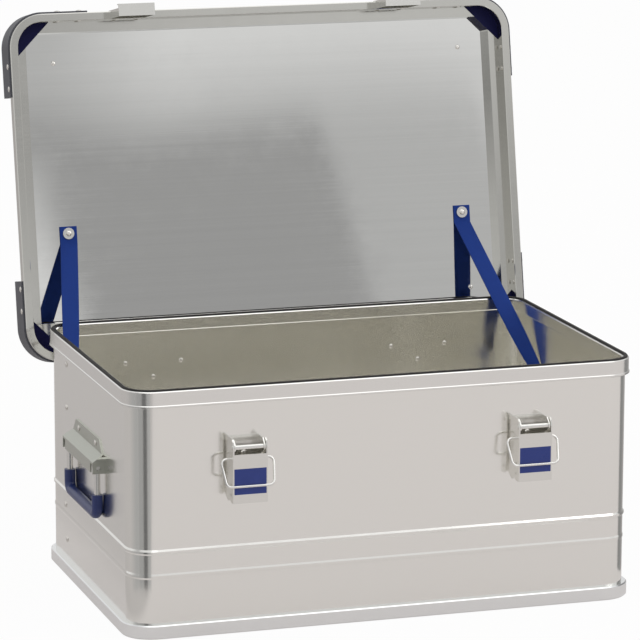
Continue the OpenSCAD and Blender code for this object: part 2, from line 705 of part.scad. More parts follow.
// Heights of the holes pierced in the lever's side walls, above its lower edge
lever_holes = [8, 19];

// Block that fills the inlay's pocket, from its floor outwards
module inlay_block(t) translate([-inlay[0] / 2, lever_out - inlay_t, lever_top - inlay_drop - inlay[1]])
    cube([inlay[0], t, inlay[1]]);

module lever_inlay(s) color([0.10, 0.16, 0.45]) at_front(s * fitting_x) inlay_block(inlay_t);

// Wire bail, drawn hanging from its pivot and leaned out onto the lever
module latch_bail(s) color([0.88, 0.87, 0.86]) at_front(s * fitting_x)
    translate([0, bail_out, bail_z]) rotate([bail_rest, 0, 0]) {
        for (k = [-1, 1]) {
            bar([k * stub_in, 0, 0], [k * bail_w / 2, 0, 0], wire_d);
            translate([k * bail_w / 2, 0, 0]) sphere(d = bail_knee);
            bar([k * bail_w / 2, 0, 0], [k * bail_bar_w / 2, 0, -bail_len], wire_d);
            translate([k * bail_bar_w / 2, 0, -bail_len]) sphere(d = bail_knee);
        }
        bar([-bail_bar_w / 2, 0, -bail_len], [bail_bar_w / 2, 0, -bail_len], wire_d);
    }

// Diameter of the wire where it is bent
bail_knee = wire_d + 0.2;

// ---- side handles ----

module handle_bracket(s) color([0.72, 0.73, 0.68]) at_side(s) difference() {
    intersection() {
        union() {
            across(2 * bracket_w) polygon([
                [0, bracket_top], [bracket_t, bracket_top], [bracket_t, bracket_top - bracket_flat + 0.4],
                [bracket_out + bracket_t, bracket_fold + 0.6], [bracket_out + bracket_t, bracket_bottom],
                [bracket_out, bracket_bottom], [bracket_out, bracket_fold],
                [0, bracket_top - bracket_flat]
            ]);
            for (k = [-1, 1]) translate([k * (bracket_w - bracket_t / 2), 0, 0]) across(bracket_t)
                polygon([
                    [0, bracket_top - bracket_flat], [bracket_out + 0.1, bracket_fold + 0.1],
                    [bracket_out + 0.1, bracket_bottom], [0, bracket_bottom]
                ]);
        }
        upright(-cut, bracket_out + 4) polygon([
            [-bracket_top_w, bracket_top], [bracket_top_w, bracket_top], [bracket_w, bracket_fold + 4],
            [bracket_w, bracket_bottom - cut], [-bracket_w, bracket_bottom - cut],
            [-bracket_w, bracket_fold + 4]
        ]);
    }
    for (k = [-1, 1]) {
        rivet_hole(k * bracket_rivet_s, bracket_rivet_z, 0, bracket_t);
        translate([k * handle_leg - leg_slot / 2, bracket_out - cut, bracket_bottom - cut])
            cube([leg_slot, bracket_t + 2 * cut, handle_z + leg_slot / 2 - bracket_bottom + cut]);
    }
    axle(handle_off, handle_z, handle_pin_d + fit / 2, 2 * bracket_w + 2 * cut);
}

module handle_pin(s) color([0.60, 0.60, 0.58]) at_side(s)
    axle(handle_off, handle_z, handle_pin_d, 2 * pin_reach);

module handle_rivets() color([0.75, 0.74, 0.72]) for (s = [-1, 1]) at_side(s)
    for (k = [-1, 1]) rivet(k * bracket_rivet_s, bracket_rivet_z, -sheet_t, bracket_t);

// Corner radius of the handle's rod, at its middle line
handle_bend = 9;
handle_low = handle_z - handle_len;

module handle_path(d) {
    for (k = [-1, 1]) {
        translate([k * handle_leg, handle_off, handle_low + handle_bend])
            cylinder(d = d, h = handle_len - handle_bend);
        translate([k * (handle_leg - handle_bend), handle_off, handle_low + handle_bend])
            rotate([90, 0, 0]) rotate([0, 0, k > 0 ? -90 : 180])
                rotate_extrude(angle = 90) translate([handle_bend, 0]) circle(d = d);
    }
    axle(handle_off, handle_low, d, 2 * (handle_leg - handle_bend));
}

module handle(s) color([0.74, 0.74, 0.73]) at_side(s) difference() {
    union() {
        handle_path(handle_d);
        for (k = [-1, 1]) translate([k * handle_leg, 0, 0])
            axle(handle_off, handle_z, eye_d, handle_d);
    }
    axle(handle_off, handle_z, handle_pin_d + fit, 2 * bracket_w);
}

module grip(s) color([0.13, 0.20, 0.50]) at_side(s) difference() {
    intersection() {
        handle_path(grip_d);
        translate([0, handle_off, handle_low + grip_up / 2])
            cube([4 * handle_leg, 2 * grip_d, grip_up + grip_d], center = true);
    }
    handle_path(handle_d);
}

// ---- straps ----

module strap_wall_washers() color([0.85, 0.85, 0.84]) for (s = [-1, 1]) at_side(s)
    translate([-s * strap_wall[1], 0, strap_wall[2]]) rotate([90, 0, 0]) difference() {
        translate([0, 0, sheet_t + strap_t]) cylinder(d = washer_d, h = washer_t);
        cylinder(d = rivet_d + rivet_fit, h = 10);
    }

module strap_wall_rivets() color([0.75, 0.74, 0.72]) for (s = [-1, 1]) at_side(s)
    rivet(-s * strap_wall[1], strap_wall[2], -sheet_t - strap_t - washer_t, 0);

module strap_lid_washers() color([0.85, 0.85, 0.84]) opened() for (s = [-1, 1])
    translate([s * strap_lid[0], strap_lid[1], lid_sheet_z - strap_t - washer_t]) difference() {
        cylinder(d = washer_d, h = washer_t);
        translate([0, 0, -cut]) cylinder(d = rivet_d + rivet_fit, h = washer_t + 2 * cut);
    }

module strap_lid_rivets() color([0.75, 0.74, 0.72]) opened() for (s = [-1, 1])
    translate([s * strap_lid[0], strap_lid[1], 0]) {
        translate([0, 0, lid_sheet_z - strap_t - washer_t])
            cylinder(d = rivet_d, h = strap_t + washer_t + sheet_t);
        translate([0, 0, lid_sheet_z - strap_t - washer_t]) mirror([0, 0, 1]) rivet_cap(head_d, head_h);
        translate([0, 0, lid_sheet_top]) rivet_cap(tail_d, tail_h);
    }

// Ends of the right strap's free run, and its middle line between them
strap_tail = 12;
// Length of webbing past each rivet, away from the free run
strap_tip = 8;
strap_a = let (p = swing([strap_lid[1] + strap_tail, lid_sheet_z - strap_t / 2 - 0.1]))
    [strap_lid[0], p[0], p[1]];
strap_b = [strap_wall[0] - strap_t / 2 - 0.1, strap_wall[1] + 4, strap_wall[2] + strap_tail];
function strap_point(t) = strap_a + t * (strap_b - strap_a);

// A short slice of webbing, turned from flat on the lid to flat on the wall
module strap_slice(t) translate(strap_point(t)) rotate([0, 0, -90 * t * t * t])
    rotate([-20 * (1 - t), 0, 0]) cube([strap_w, strap_t, 0.6], center = true);

module strap(s) color([0.09, 0.18, 0.55]) mirror([s < 0 ? 1 : 0, 0, 0]) {
    for (i = [0:strap_steps - 1]) hull() {
        strap_slice(i / strap_steps);
        strap_slice((i + 1) / strap_steps);
    }
    opened() translate([strap_lid[0], strap_lid[1], lid_sheet_z - strap_t]) difference() {
        translate([-strap_w / 2, -strap_tip, 0]) cube([strap_w, strap_tip + strap_tail, strap_t]);
        translate([0, 0, -cut]) cylinder(d = rivet_d + rivet_fit, h = strap_t + 2 * cut);
    }
    at_side(1) difference() {
        translate([-strap_wall[1] - strap_w / 2, -sheet_t - strap_t, strap_wall[2] - strap_tip])
            cube([strap_w, strap_t, strap_tip + strap_tail]);
        rivet_hole(-strap_wall[1], strap_wall[2], -sheet_t - strap_t, -sheet_t);
    }
}

// ---- what each node draws ----

wall_sheet();
floor_sheet();
rim_frame();
base_rail();
rim_seal();
hinge_leaf(-1);  // hinge_leaf_left
hinge_leaf(1);  // hinge_leaf_right
hinge_pin(-1);  // hinge_pin_left
hinge_pin(1);  // hinge_pin_right
hinge_rivets();
latch_base(-1);  // latch_base_left
latch_base(1);  // latch_base_right
latch_rod(-1);  // latch_rod_left
latch_rod(1);  // latch_rod_right
latch_base_rivets();
handle_bracket(-1);  // handle_bracket_left
handle_bracket(1);  // handle_bracket_right
handle_pin(-1);  // handle_pin_left
handle_pin(1);  // handle_pin_right
handle_rivets();
strap_wall_washers();
strap_wall_rivets();
wall_seam_rivets();
lid_sheet();
lid_frame();
lid_insert(corners[0]);  // lid_insert_front_left
lid_insert(corners[1]);  // lid_insert_front_right
lid_insert(corners[2]);  // lid_insert_back_left
lid_insert(corners[3]);  // lid_insert_back_right
stack_corner(corners[0]);  // stack_corner_front_left
stack_corner(corners[1]);  // stack_corner_front_right
stack_corner(corners[2]);  // stack_corner_back_left
stack_corner(corners[3]);  // stack_corner_back_right
stack_corner_rivets();
lid_leaf(-1);  // lid_leaf_left
lid_leaf(1);  // lid_leaf_right
lid_leaf_rivets();
keeper(-1);  // keeper_left
keeper(1);  // keeper_right
keeper_rivets();
strap_lid_washers();
strap_lid_rivets();
strap(-1);  // strap_left
strap(1);  // strap_right
latch_lever(-1);  // latch_lever_left
latch_lever(1);  // latch_lever_right
lever_inlay(-1);  // lever_inlay_left
lever_inlay(1);  // lever_inlay_right
latch_bail(-1);  // latch_bail_left
latch_bail(1);  // latch_bail_right
handle(-1);  // handle_left
handle(1);  // handle_right
grip(-1);  // grip_left
grip(1);  // grip_right
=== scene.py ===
"""Looks for the aluminium transport box: finishes, webbing straps, studio and camera."""

import json
import logging
import math
from dataclasses import dataclass
from enum import Enum
from typing import Sequence, Union

import bpy
from mathutils import Matrix, Vector

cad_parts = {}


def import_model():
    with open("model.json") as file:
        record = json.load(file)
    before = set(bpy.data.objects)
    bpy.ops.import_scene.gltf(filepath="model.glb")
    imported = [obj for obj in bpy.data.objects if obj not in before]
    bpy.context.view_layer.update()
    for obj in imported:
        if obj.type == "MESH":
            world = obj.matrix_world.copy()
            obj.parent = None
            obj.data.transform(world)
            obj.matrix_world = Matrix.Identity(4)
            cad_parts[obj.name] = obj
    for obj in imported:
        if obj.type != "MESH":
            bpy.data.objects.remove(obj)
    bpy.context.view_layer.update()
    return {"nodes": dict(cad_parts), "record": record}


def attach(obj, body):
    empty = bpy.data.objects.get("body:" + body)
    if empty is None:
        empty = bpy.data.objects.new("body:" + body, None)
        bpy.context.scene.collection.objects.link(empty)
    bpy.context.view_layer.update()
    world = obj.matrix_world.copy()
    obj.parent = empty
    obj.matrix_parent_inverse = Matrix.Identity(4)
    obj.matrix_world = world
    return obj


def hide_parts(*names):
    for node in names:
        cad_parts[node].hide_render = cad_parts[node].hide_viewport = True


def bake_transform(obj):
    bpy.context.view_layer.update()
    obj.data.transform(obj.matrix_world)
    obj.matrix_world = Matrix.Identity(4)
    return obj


LOG = logging.getLogger("transport_box")
MM = 0.001
LATCH_X = 158.0 * MM  # from the box's middle to the middle of each latch
MERGE = 0.01 * MM  # points nearer than this are one point
SMOOTH = math.radians(40)  # edges flatter than this are shaded smooth
FOLD = math.radians(30)  # and on the lid's sheet, edges flatter than this

Triple = tuple[float, float, float]
Colour = Triple
Span = tuple[float, float]
Number = Union[int, float]

WHITE: Colour = (1.0, 1.0, 1.0)


def srgb(red: Number, green: Number, blue: Number) -> Colour:
    """Turns a colour given in 0 to 255 display values into linear light.

    Args:
        red: Red, 0 to 255.
        green: Green, 0 to 255.
        blue: Blue, 0 to 255.

    Returns:
        The colour in linear light.
    """
    def linear(value: Number) -> float:
        """Returns one channel in linear light."""
        share = value / 255
        return share / 12.92 if share <= 0.04045 else ((share + 0.055) / 1.055) ** 2.4

    return linear(red), linear(green), linear(blue)


# ---- shader maths ----


class Value:
    """A number or colour that flows through a node tree, with arithmetic."""

    def __init__(self, graph: "Graph", socket: bpy.types.NodeSocket) -> None:
        """Keeps the socket and the graph that its maths nodes go into.

        Args:
            graph: The graph that the socket belongs to.
            socket: An output socket.
        """
        self.graph = graph
        self.socket = socket

    def _maths(self, operation: str, first: "Operand", second: "Operand") -> "Value":
        """Adds one Math node.

        Args:
            operation: The node's operation.
            first: The first operand.
            second: The second operand.

        Returns:
            The node's result.
        """
        return self.graph.add("ShaderNodeMath", {"operation": operation}, {0: first, 1: second})

    def __add__(self, other: "Operand") -> "Value":
        """Returns self + other."""
        return self._maths("ADD", self, other)

    __radd__ = __add__

    def __sub__(self, other: "Operand") -> "Value":
        """Returns self - other."""
        return self._maths("SUBTRACT", self, other)

    def __rsub__(self, other: "Operand") -> "Value":
        """Returns other - self."""
        return self._maths("SUBTRACT", other, self)

    def __mul__(self, other: "Operand") -> "Value":
        """Returns self * other."""
        return self._maths("MULTIPLY", self, other)

    __rmul__ = __mul__

    def sine(self) -> "Value":
        """Returns the sine of self, in radians."""
        return self._maths("SINE", self, 0.0)

    def most(self, other: "Operand") -> "Value":
        """Returns the larger of self and other."""
        return self._maths("MAXIMUM", self, other)

    def output(self, number: int) -> "Value":
        """Returns another output of the node that self comes from.

        Args:
            number: The output's number.

        Returns:
            That output.
        """
        return Value(self.graph, self.socket.node.outputs[number])

    def step(self, low: float, high: float) -> "Value":
        """Rises smoothly from 0 to 1 between two values.

        Args:
            low: Where the rise starts.
            high: Where it ends.

        Returns:
            The smooth step.
        """
        return self.graph.add(
            "ShaderNodeMapRange",
            {"interpolation_type": "SMOOTHSTEP"},
            {"Value": self, "From Min": low, "From Max": high},
        )


Operand = Union[Value, Number]


class Graph:
    """A node tree that is written as expressions."""

    def __init__(self, tree: bpy.types.NodeTree) -> None:
        """Empties the tree and keeps it.

        Args:
            tree: The node tree of a material or a world.
        """
        self.tree = tree
        tree.nodes.clear()

    def add(
        self,
        kind: str,
        settings: dict[str, object] | None = None,
        inputs: dict[Union[str, int], object] | None = None,
        output: Union[str, int] = 0,
    ) -> Value:
        """Adds a node, sets it up and returns one of its outputs.

        Args:
            kind: The node's type name.
            settings: Its properties, set before the inputs.
            inputs: Values or links for its sockets, by name or number.
            output: The output socket that is returned.

        Returns:
            The chosen output.
        """
        node = self.tree.nodes.new(kind)
        for name, setting in (settings or {}).items():
            setattr(node, name, setting)
        for name, given in (inputs or {}).items():
            socket = node.inputs[name]
            if isinstance(given, Value):
                self.tree.links.new(given.socket, socket)
            elif isinstance(given, tuple) and len(given) == 3 and socket.type == "RGBA":
                socket.default_value = (*given, 1.0)
            else:
                socket.default_value = given
        return Value(self, node.outputs[output] if len(node.outputs) else None)

    def place(self, scale: Sequence[float], turn: Sequence[float] = (0, 0, 0)) -> Value:
        """Returns the object's own coordinates, turned and scaled.

        Args:
            scale: The scale along each axis.
            turn: The turn about each axis, in degrees.

        Returns:
            The coordinates.
        """
        own = self.add("ShaderNodeTexCoord", output="Object")
        return self.add(
            "ShaderNodeMapping",
            {},
            {"Vector": own, "Scale": tuple(scale),
             "Rotation": tuple(math.radians(angle) for angle in turn)},
        )

    def noise(
        self, scale: Sequence[float], detail: float = 2.0, rough: float = 0.5,
        turn: Sequence[float] = (0, 0, 0),
    ) -> Value:
        """Returns noise stretched to a scale along each axis.

        Args:
            scale: Features per metre along each axis.
            detail: Finer layers on top of the first.
            rough: How strong the finer layers are.
            turn: The turn of the pattern about each axis, in degrees.

        Returns:
            The noise, about 0 to 1.
        """
        return self.add(
            "ShaderNodeTexNoise",
            {"noise_dimensions": "3D"},
            {"Vector": self.place(scale, turn), "Scale": 1.0, "Detail": detail,
             "Roughness": rough},
        )

    def mix(self, share: Operand, first: Colour, second: Colour) -> Value:
        """Mixes two colours.

        Args:
            share: How much of the second, 0 to 1.
            first: The first colour.
            second: The second colour.

        Returns:
            The mixed colour.
        """
        return self.add(
            "ShaderNodeMix",
            {"data_type": "RGBA"},
            {0: share, 6: (*first, 1.0), 7: (*second, 1.0)},
            output=2,
        )

    def bump(
        self, height: Value, distance: float, strength: float = 1.0, under: Value | None = None
    ) -> Value:
        """Turns a height into a normal.

        Args:
            height: The height, 0 to 1.
            distance: The full height in metres.
            strength: How much of it shows.
            under: The normal that this height lies on, if any.

        Returns:
            The normal.
        """
        inputs: dict[Union[str, int], object] = {
            "Height": height, "Distance": distance, "Strength": strength,
        }
        if under is not None:
            inputs["Normal"] = under
        return self.add("ShaderNodeBump", {}, inputs)

    def glow(self, colour: Colour, strength: Operand = 1.0) -> Value:
        """Adds plain light of one colour.

        Args:
            colour: The light's colour.
            strength: Its strength.

        Returns:
            The shader.
        """
        return self.add("ShaderNodeEmission", {}, {"Color": colour, "Strength": strength})

    def mix_shaders(self, share: Operand, first: Value, second: Value) -> Value:
        """Mixes two shaders.

        Args:
            share: How much of the second, 0 to 1.
            first: The first shader.
            second: The second shader.

        Returns:
            The mixed shader.
        """
        return self.add("ShaderNodeMixShader", {}, {0: share, 1: first, 2: second})

    def principled(self, inputs: dict[Union[str, int], object]) -> None:
        """Ends a material's tree in one Principled shader.

        Args:
            inputs: Values or links for the shader's sockets.
        """
        self.surface(self.add("ShaderNodeBsdfPrincipled", {}, inputs))

    def surface(self, shader: Value) -> None:
        """Ends a material's tree.

        Args:
            shader: What the surface shows.
        """
        self.add("ShaderNodeOutputMaterial", {}, {"Surface": shader})


def new_material(name: str) -> tuple[bpy.types.Material, Graph]:
    """Makes an empty material.

    Args:
        name: The material's name.

    Returns:
        The material and its graph.
    """
    material = bpy.data.materials.new(name)
    material.use_nodes = True
    return material, Graph(material.node_tree)


# ---- finishes ----


class Grain(Enum):
    """Which way a sheet's rolling or brushing runs, as features per metre along X, Y and Z."""

    LEVEL = (2.5, 2.5, 950.0)
    ALONG_X = (2.5, 950.0, 950.0)
    EVEN = (260.0, 260.0, 260.0)


@dataclass(frozen=True)
class Metal:
    """A bare or plated metal with rolling marks, faint mottling and fine scratches.

    Tint is how far the mottling may shift the colour, and contrast how sharply it does. The
    dullings are how far each pattern moves the roughness.
    """

    name: str
    colour: Colour
    roughness: float = 0.3
    grain: Grain = Grain.LEVEL
    brushing: float = 4e-6
    mottle: float = 0.06
    waviness: float = 0.0
    drawn: float = 0.0
    scratches: float = 0.2
    tint: float = 1.6
    contrast: float = 2.2 * 0.35 / 0.06
    grain_dulling: float = 0.06
    scuff_dulling: float = 0.08
    scratch_dulling: float = 0.12
    scratch_depth: float = 0.6
    scratch_span: Span = (0.71, 0.76)
    scratch_scale: Triple = (5.0, 5.0, 620.0)
    scratch_turn: Triple = (21.0, 34.0, 0.0)
    wide_grain: float = 7.0
    cloud_scale: float = 7.0
    scuff_scale: float = 34.0
    swell_scale: Triple = (3.2, 3.2, 4.6)

    def build(self) -> bpy.types.Material:
        """Makes the material.

        Returns:
            The finished material.
        """
        material, graph = new_material(self.name)
        fine = graph.noise(self.grain.value, detail=3.0, rough=0.6)
        wide = graph.noise(
            tuple(step / self.wide_grain for step in self.grain.value), detail=2.0, rough=0.55
        )
        cloud = graph.noise((self.cloud_scale,) * 3, detail=3.0)
        scuff = graph.noise((self.scuff_scale,) * 3, detail=5.0, rough=0.7)
        scratch = graph.noise(self.scratch_scale, detail=1.0, turn=self.scratch_turn)
        line = scratch.step(*self.scratch_span)
        shade = fine * 0.35 + wide * 0.45 + cloud * 0.2
        colour = graph.mix(
            (shade - 0.5) * (self.contrast * self.mottle) + 0.5,
            tuple(channel * (1 - self.tint * self.mottle) for channel in self.colour),
            tuple(min(1.0, channel * (1 + self.tint * self.mottle)) for channel in self.colour),
        )
        rough = (fine - 0.5) * self.grain_dulling + (scuff - 0.5) * self.scuff_dulling
        rough = rough + self.roughness + line * (self.scratch_dulling * self.scratches)
        height = fine * 0.7 + wide * 0.3 - line * self.scratches * self.scratch_depth
        normal = graph.bump(height, self.brushing)
        if self.waviness:
            swell = graph.noise(self.swell_scale, detail=1.0, rough=0.4)
            normal = graph.bump(swell, self.waviness, under=normal)
        graph.principled(
            {"Base Color": colour, "Metallic": 1.0, "Roughness": rough, "Normal": normal,
             "Anisotropic": self.drawn},
        )
        return material


@dataclass(frozen=True)
class Moulding:
    """Moulded plastic or rubber with a fine spark-eroded skin and light wear."""

    name: str
    colour: Colour
    roughness: float = 0.4
    skin: float = 2e-5
    wear: float = 0.25
    specular: float = 0.5
    skin_scale: float = 1500.0
    skin_dulling: float = 0.1
    cloud_scale: float = 45.0
    cloud_dulling: float = 0.14
    rub_span: Span = (0.56, 0.72)
    rubbed: float = 1.35
    dust: float = 0.012

    def build(self) -> bpy.types.Material:
        """Makes the material.

        Returns:
            The finished material.
        """
        material, graph = new_material(self.name)
        skin = graph.noise((self.skin_scale,) * 3, detail=2.0)
        cloud = graph.noise((self.cloud_scale,) * 3, detail=4.0, rough=0.65)
        rub = cloud.step(*self.rub_span) * self.wear
        light = tuple(min(1.0, channel * self.rubbed + self.dust) for channel in self.colour)
        colour = graph.mix(rub, self.colour, light)
        rough = (skin - 0.5) * self.skin_dulling + (cloud - 0.5) * self.cloud_dulling
        rough = rough + self.roughness
        graph.principled(
            {"Base Color": colour, "Roughness": rough, "Specular IOR Level": self.specular,
             "Normal": graph.bump(skin * 0.6 + cloud * 0.4, self.skin)},
        )
        return material


@dataclass(frozen=True)
class Webbing:
    """Woven strap, its ribs set out on the piece's own UV map in metres."""

    name: str
    colour: Colour
    pick: float = 1.5 * MM
    rib: float = 1.1 * MM
    relief: float = 0.12 * MM
    relief_share: float = 0.8
    roughness: float = 0.72
    dulling: float = 0.15
    specular: float = 0.15
    sheen: float = 0.04
    sheen_roughness: float = 0.5
    cloud_scale: float = 60.0
    # ends of the strap's colour: painted shade in the weave's hollows and painted highlight on its
    # ribs, each also random tone
    darkest: float = 0.62
    lightest: float = 1.3

    def build(self) -> bpy.types.Material:
        """Makes the material.

        Returns:
            The finished material.
        """
        material, graph = new_material(self.name)
        flat = graph.add("ShaderNodeTexCoord", output="UV")
        across = graph.add("ShaderNodeSeparateXYZ", {}, {"Vector": flat})
        along = across.output(1)
        turn = 2 * math.pi
        slant = (across * (turn / self.rib) + along * (turn / self.pick)).sine()
        back = (across * (turn / self.rib) - along * (turn / self.pick)).sine()
        weave = slant.most(back) * 0.5 + 0.5
        cloud = graph.noise((self.cloud_scale,) * 3, detail=4.0, rough=0.6)
        # colour follows the weave's relief: painted shade in the hollows, painted highlight on the
        # ribs; the cloud adds random tone
        dark = tuple(channel * self.darkest for channel in self.colour)
        light = tuple(min(1.0, channel * self.lightest) for channel in self.colour)
        colour = graph.mix(weave * 0.7 + cloud * 0.3, dark, light)
        graph.principled(
            {"Base Color": colour, "Roughness": (cloud - 0.5) * self.dulling + self.roughness,
             "Sheen Weight": self.sheen, "Sheen Roughness": self.sheen_roughness,
             "Specular IOR Level": self.specular,
             "Normal": graph.bump(weave, self.relief, self.relief_share)},
        )
        return material


Finish = Union[Metal, Moulding, Webbing]

FINISHES: dict[str, Finish] = {
    "wall_aluminium": Metal("rolled_wall_sheet", srgb(241, 240, 236), 0.15, brushing=1.1e-6,
                            mottle=0.02, waviness=0.25 * MM, drawn=0.5),
    "frame_aluminium": Metal("pressed_profile", srgb(236, 235, 232), 0.2, brushing=1.5e-6,
                             mottle=0.03),
    # the frame's aluminium painted lighter: painted light on the base rail, making up for the
    # shaded floor that it mirrors
    "rail_painted_light_aluminium": Metal("rail_profile", srgb(240, 241, 241), 0.22, brushing=1.5e-6,
                            mottle=0.02),
    # the frame's aluminium painted darker: painted shade on the open lid's frame
    "lid_frame_painted_shade_aluminium": Metal("lid_profile", srgb(204, 203, 198), 0.11, brushing=0.8e-6,
                                 mottle=0.03),
    "lid_aluminium": Metal("brushed_lid_sheet", srgb(229, 229, 227), 0.035, Grain.ALONG_X,
                           brushing=1.3e-6, mottle=0.06, waviness=0.02 * MM),
    "seal_rubber": Moulding("black_rubber", srgb(30, 28, 27), 0.6, specular=0.3),
    "hinge_steel": Metal("hinge_zinc", srgb(205, 203, 196), 0.34, Grain.EVEN),
    "rivet_aluminium": Metal("rivet_metal", srgb(224, 221, 216), 0.26, Grain.EVEN),
    "latch_steel": Metal("latch_zinc", srgb(230, 229, 225), 0.22, Grain.EVEN, mottle=0.03),
    "bright_steel": Metal("bright_wire", srgb(230, 229, 226), 0.14, Grain.EVEN, mottle=0.03),
    "bracket_steel": Metal("bracket_zinc", srgb(187, 189, 180), 0.3, Grain.EVEN, mottle=0.05),
    "insert_plastic": Moulding("insert_blue", srgb(16, 17, 58), 0.5, specular=0.1),
    "stacking_plastic": Moulding("stacking_grey", srgb(70, 71, 78), 0.5),
    "inlay_plastic": Moulding("inlay_blue", srgb(30, 50, 122), 0.3),
    "grip_plastic": Moulding("grip_blue", srgb(32, 46, 98), 0.34),
    "strap_webbing": Webbing("blue_webbing", srgb(24, 54, 128)),
}

# Imported pieces given a lighter or darker copy of their slot's aluminium: painted light on the
# base rail, painted shade on the lid frame
VARIANTS: dict[str, str] = {"lid_frame": "lid_frame_painted_shade_aluminium", "base_rail": "rail_painted_light_aluminium"}


class Workshop:
    """Builds each finish once and hands it out."""

    def __init__(self) -> None:
        """Starts with no finish built."""
        self._built: dict[str, bpy.types.Material] = {}

    def finish(self, name: str) -> bpy.types.Material:
        """Returns a finish, building it at first use.

        Args:
            name: The material slot's name.

        Returns:
            The material.
        """
        if name not in self._built:
            self._built[name] = FINISHES[name].build()
        return self._built[name]

    def dress(self, piece: bpy.types.Object, name: str) -> None:
        """Gives a piece one finish all over.

        Args:
            piece: The object.
            name: The material slot's name.
        """
        piece.data.materials.clear()
        piece.data.materials.append(self.finish(name))


def deselect() -> None:
    """Leaves nothing selected, so that an operator acts on its own piece alone."""
    if bpy.context.object and bpy.context.object.mode != "OBJECT":
        bpy.ops.object.mode_set(mode="OBJECT")
    bpy.ops.object.select_all(action="DESELECT")


# ---- the box's two sides and the lid's opening ----


class Side(Enum):
    """The box's sides, each with the sign of its X."""

    LEFT = -1
    RIGHT = 1

    @property
    def word(self) -> str:
        """Returns the side's word in the names of pieces."""
        return self.name.lower()


@dataclass(frozen=True)
class LidOpening:
    """Where the lid's hinge line and its sheet lie, and how far it stands open."""

    hinge: Triple = (0.0, 182.6 * MM, 235.1 * MM)
    degrees: float = 101.0
    sheet_z: float = 280.6 * MM

    def swing(self, point: Vector) -> Vector:
        """Carries a point of the closed lid to the open lid.

        Args:
            point: The point, closed.

        Returns:
            The point on the open lid.
        """
        turn = Matrix.Rotation(math.radians(-self.degrees), 3, "X")
        hinge = Vector(self.hinge)
        return turn @ (point - hinge) + hinge


# ---- straps ----


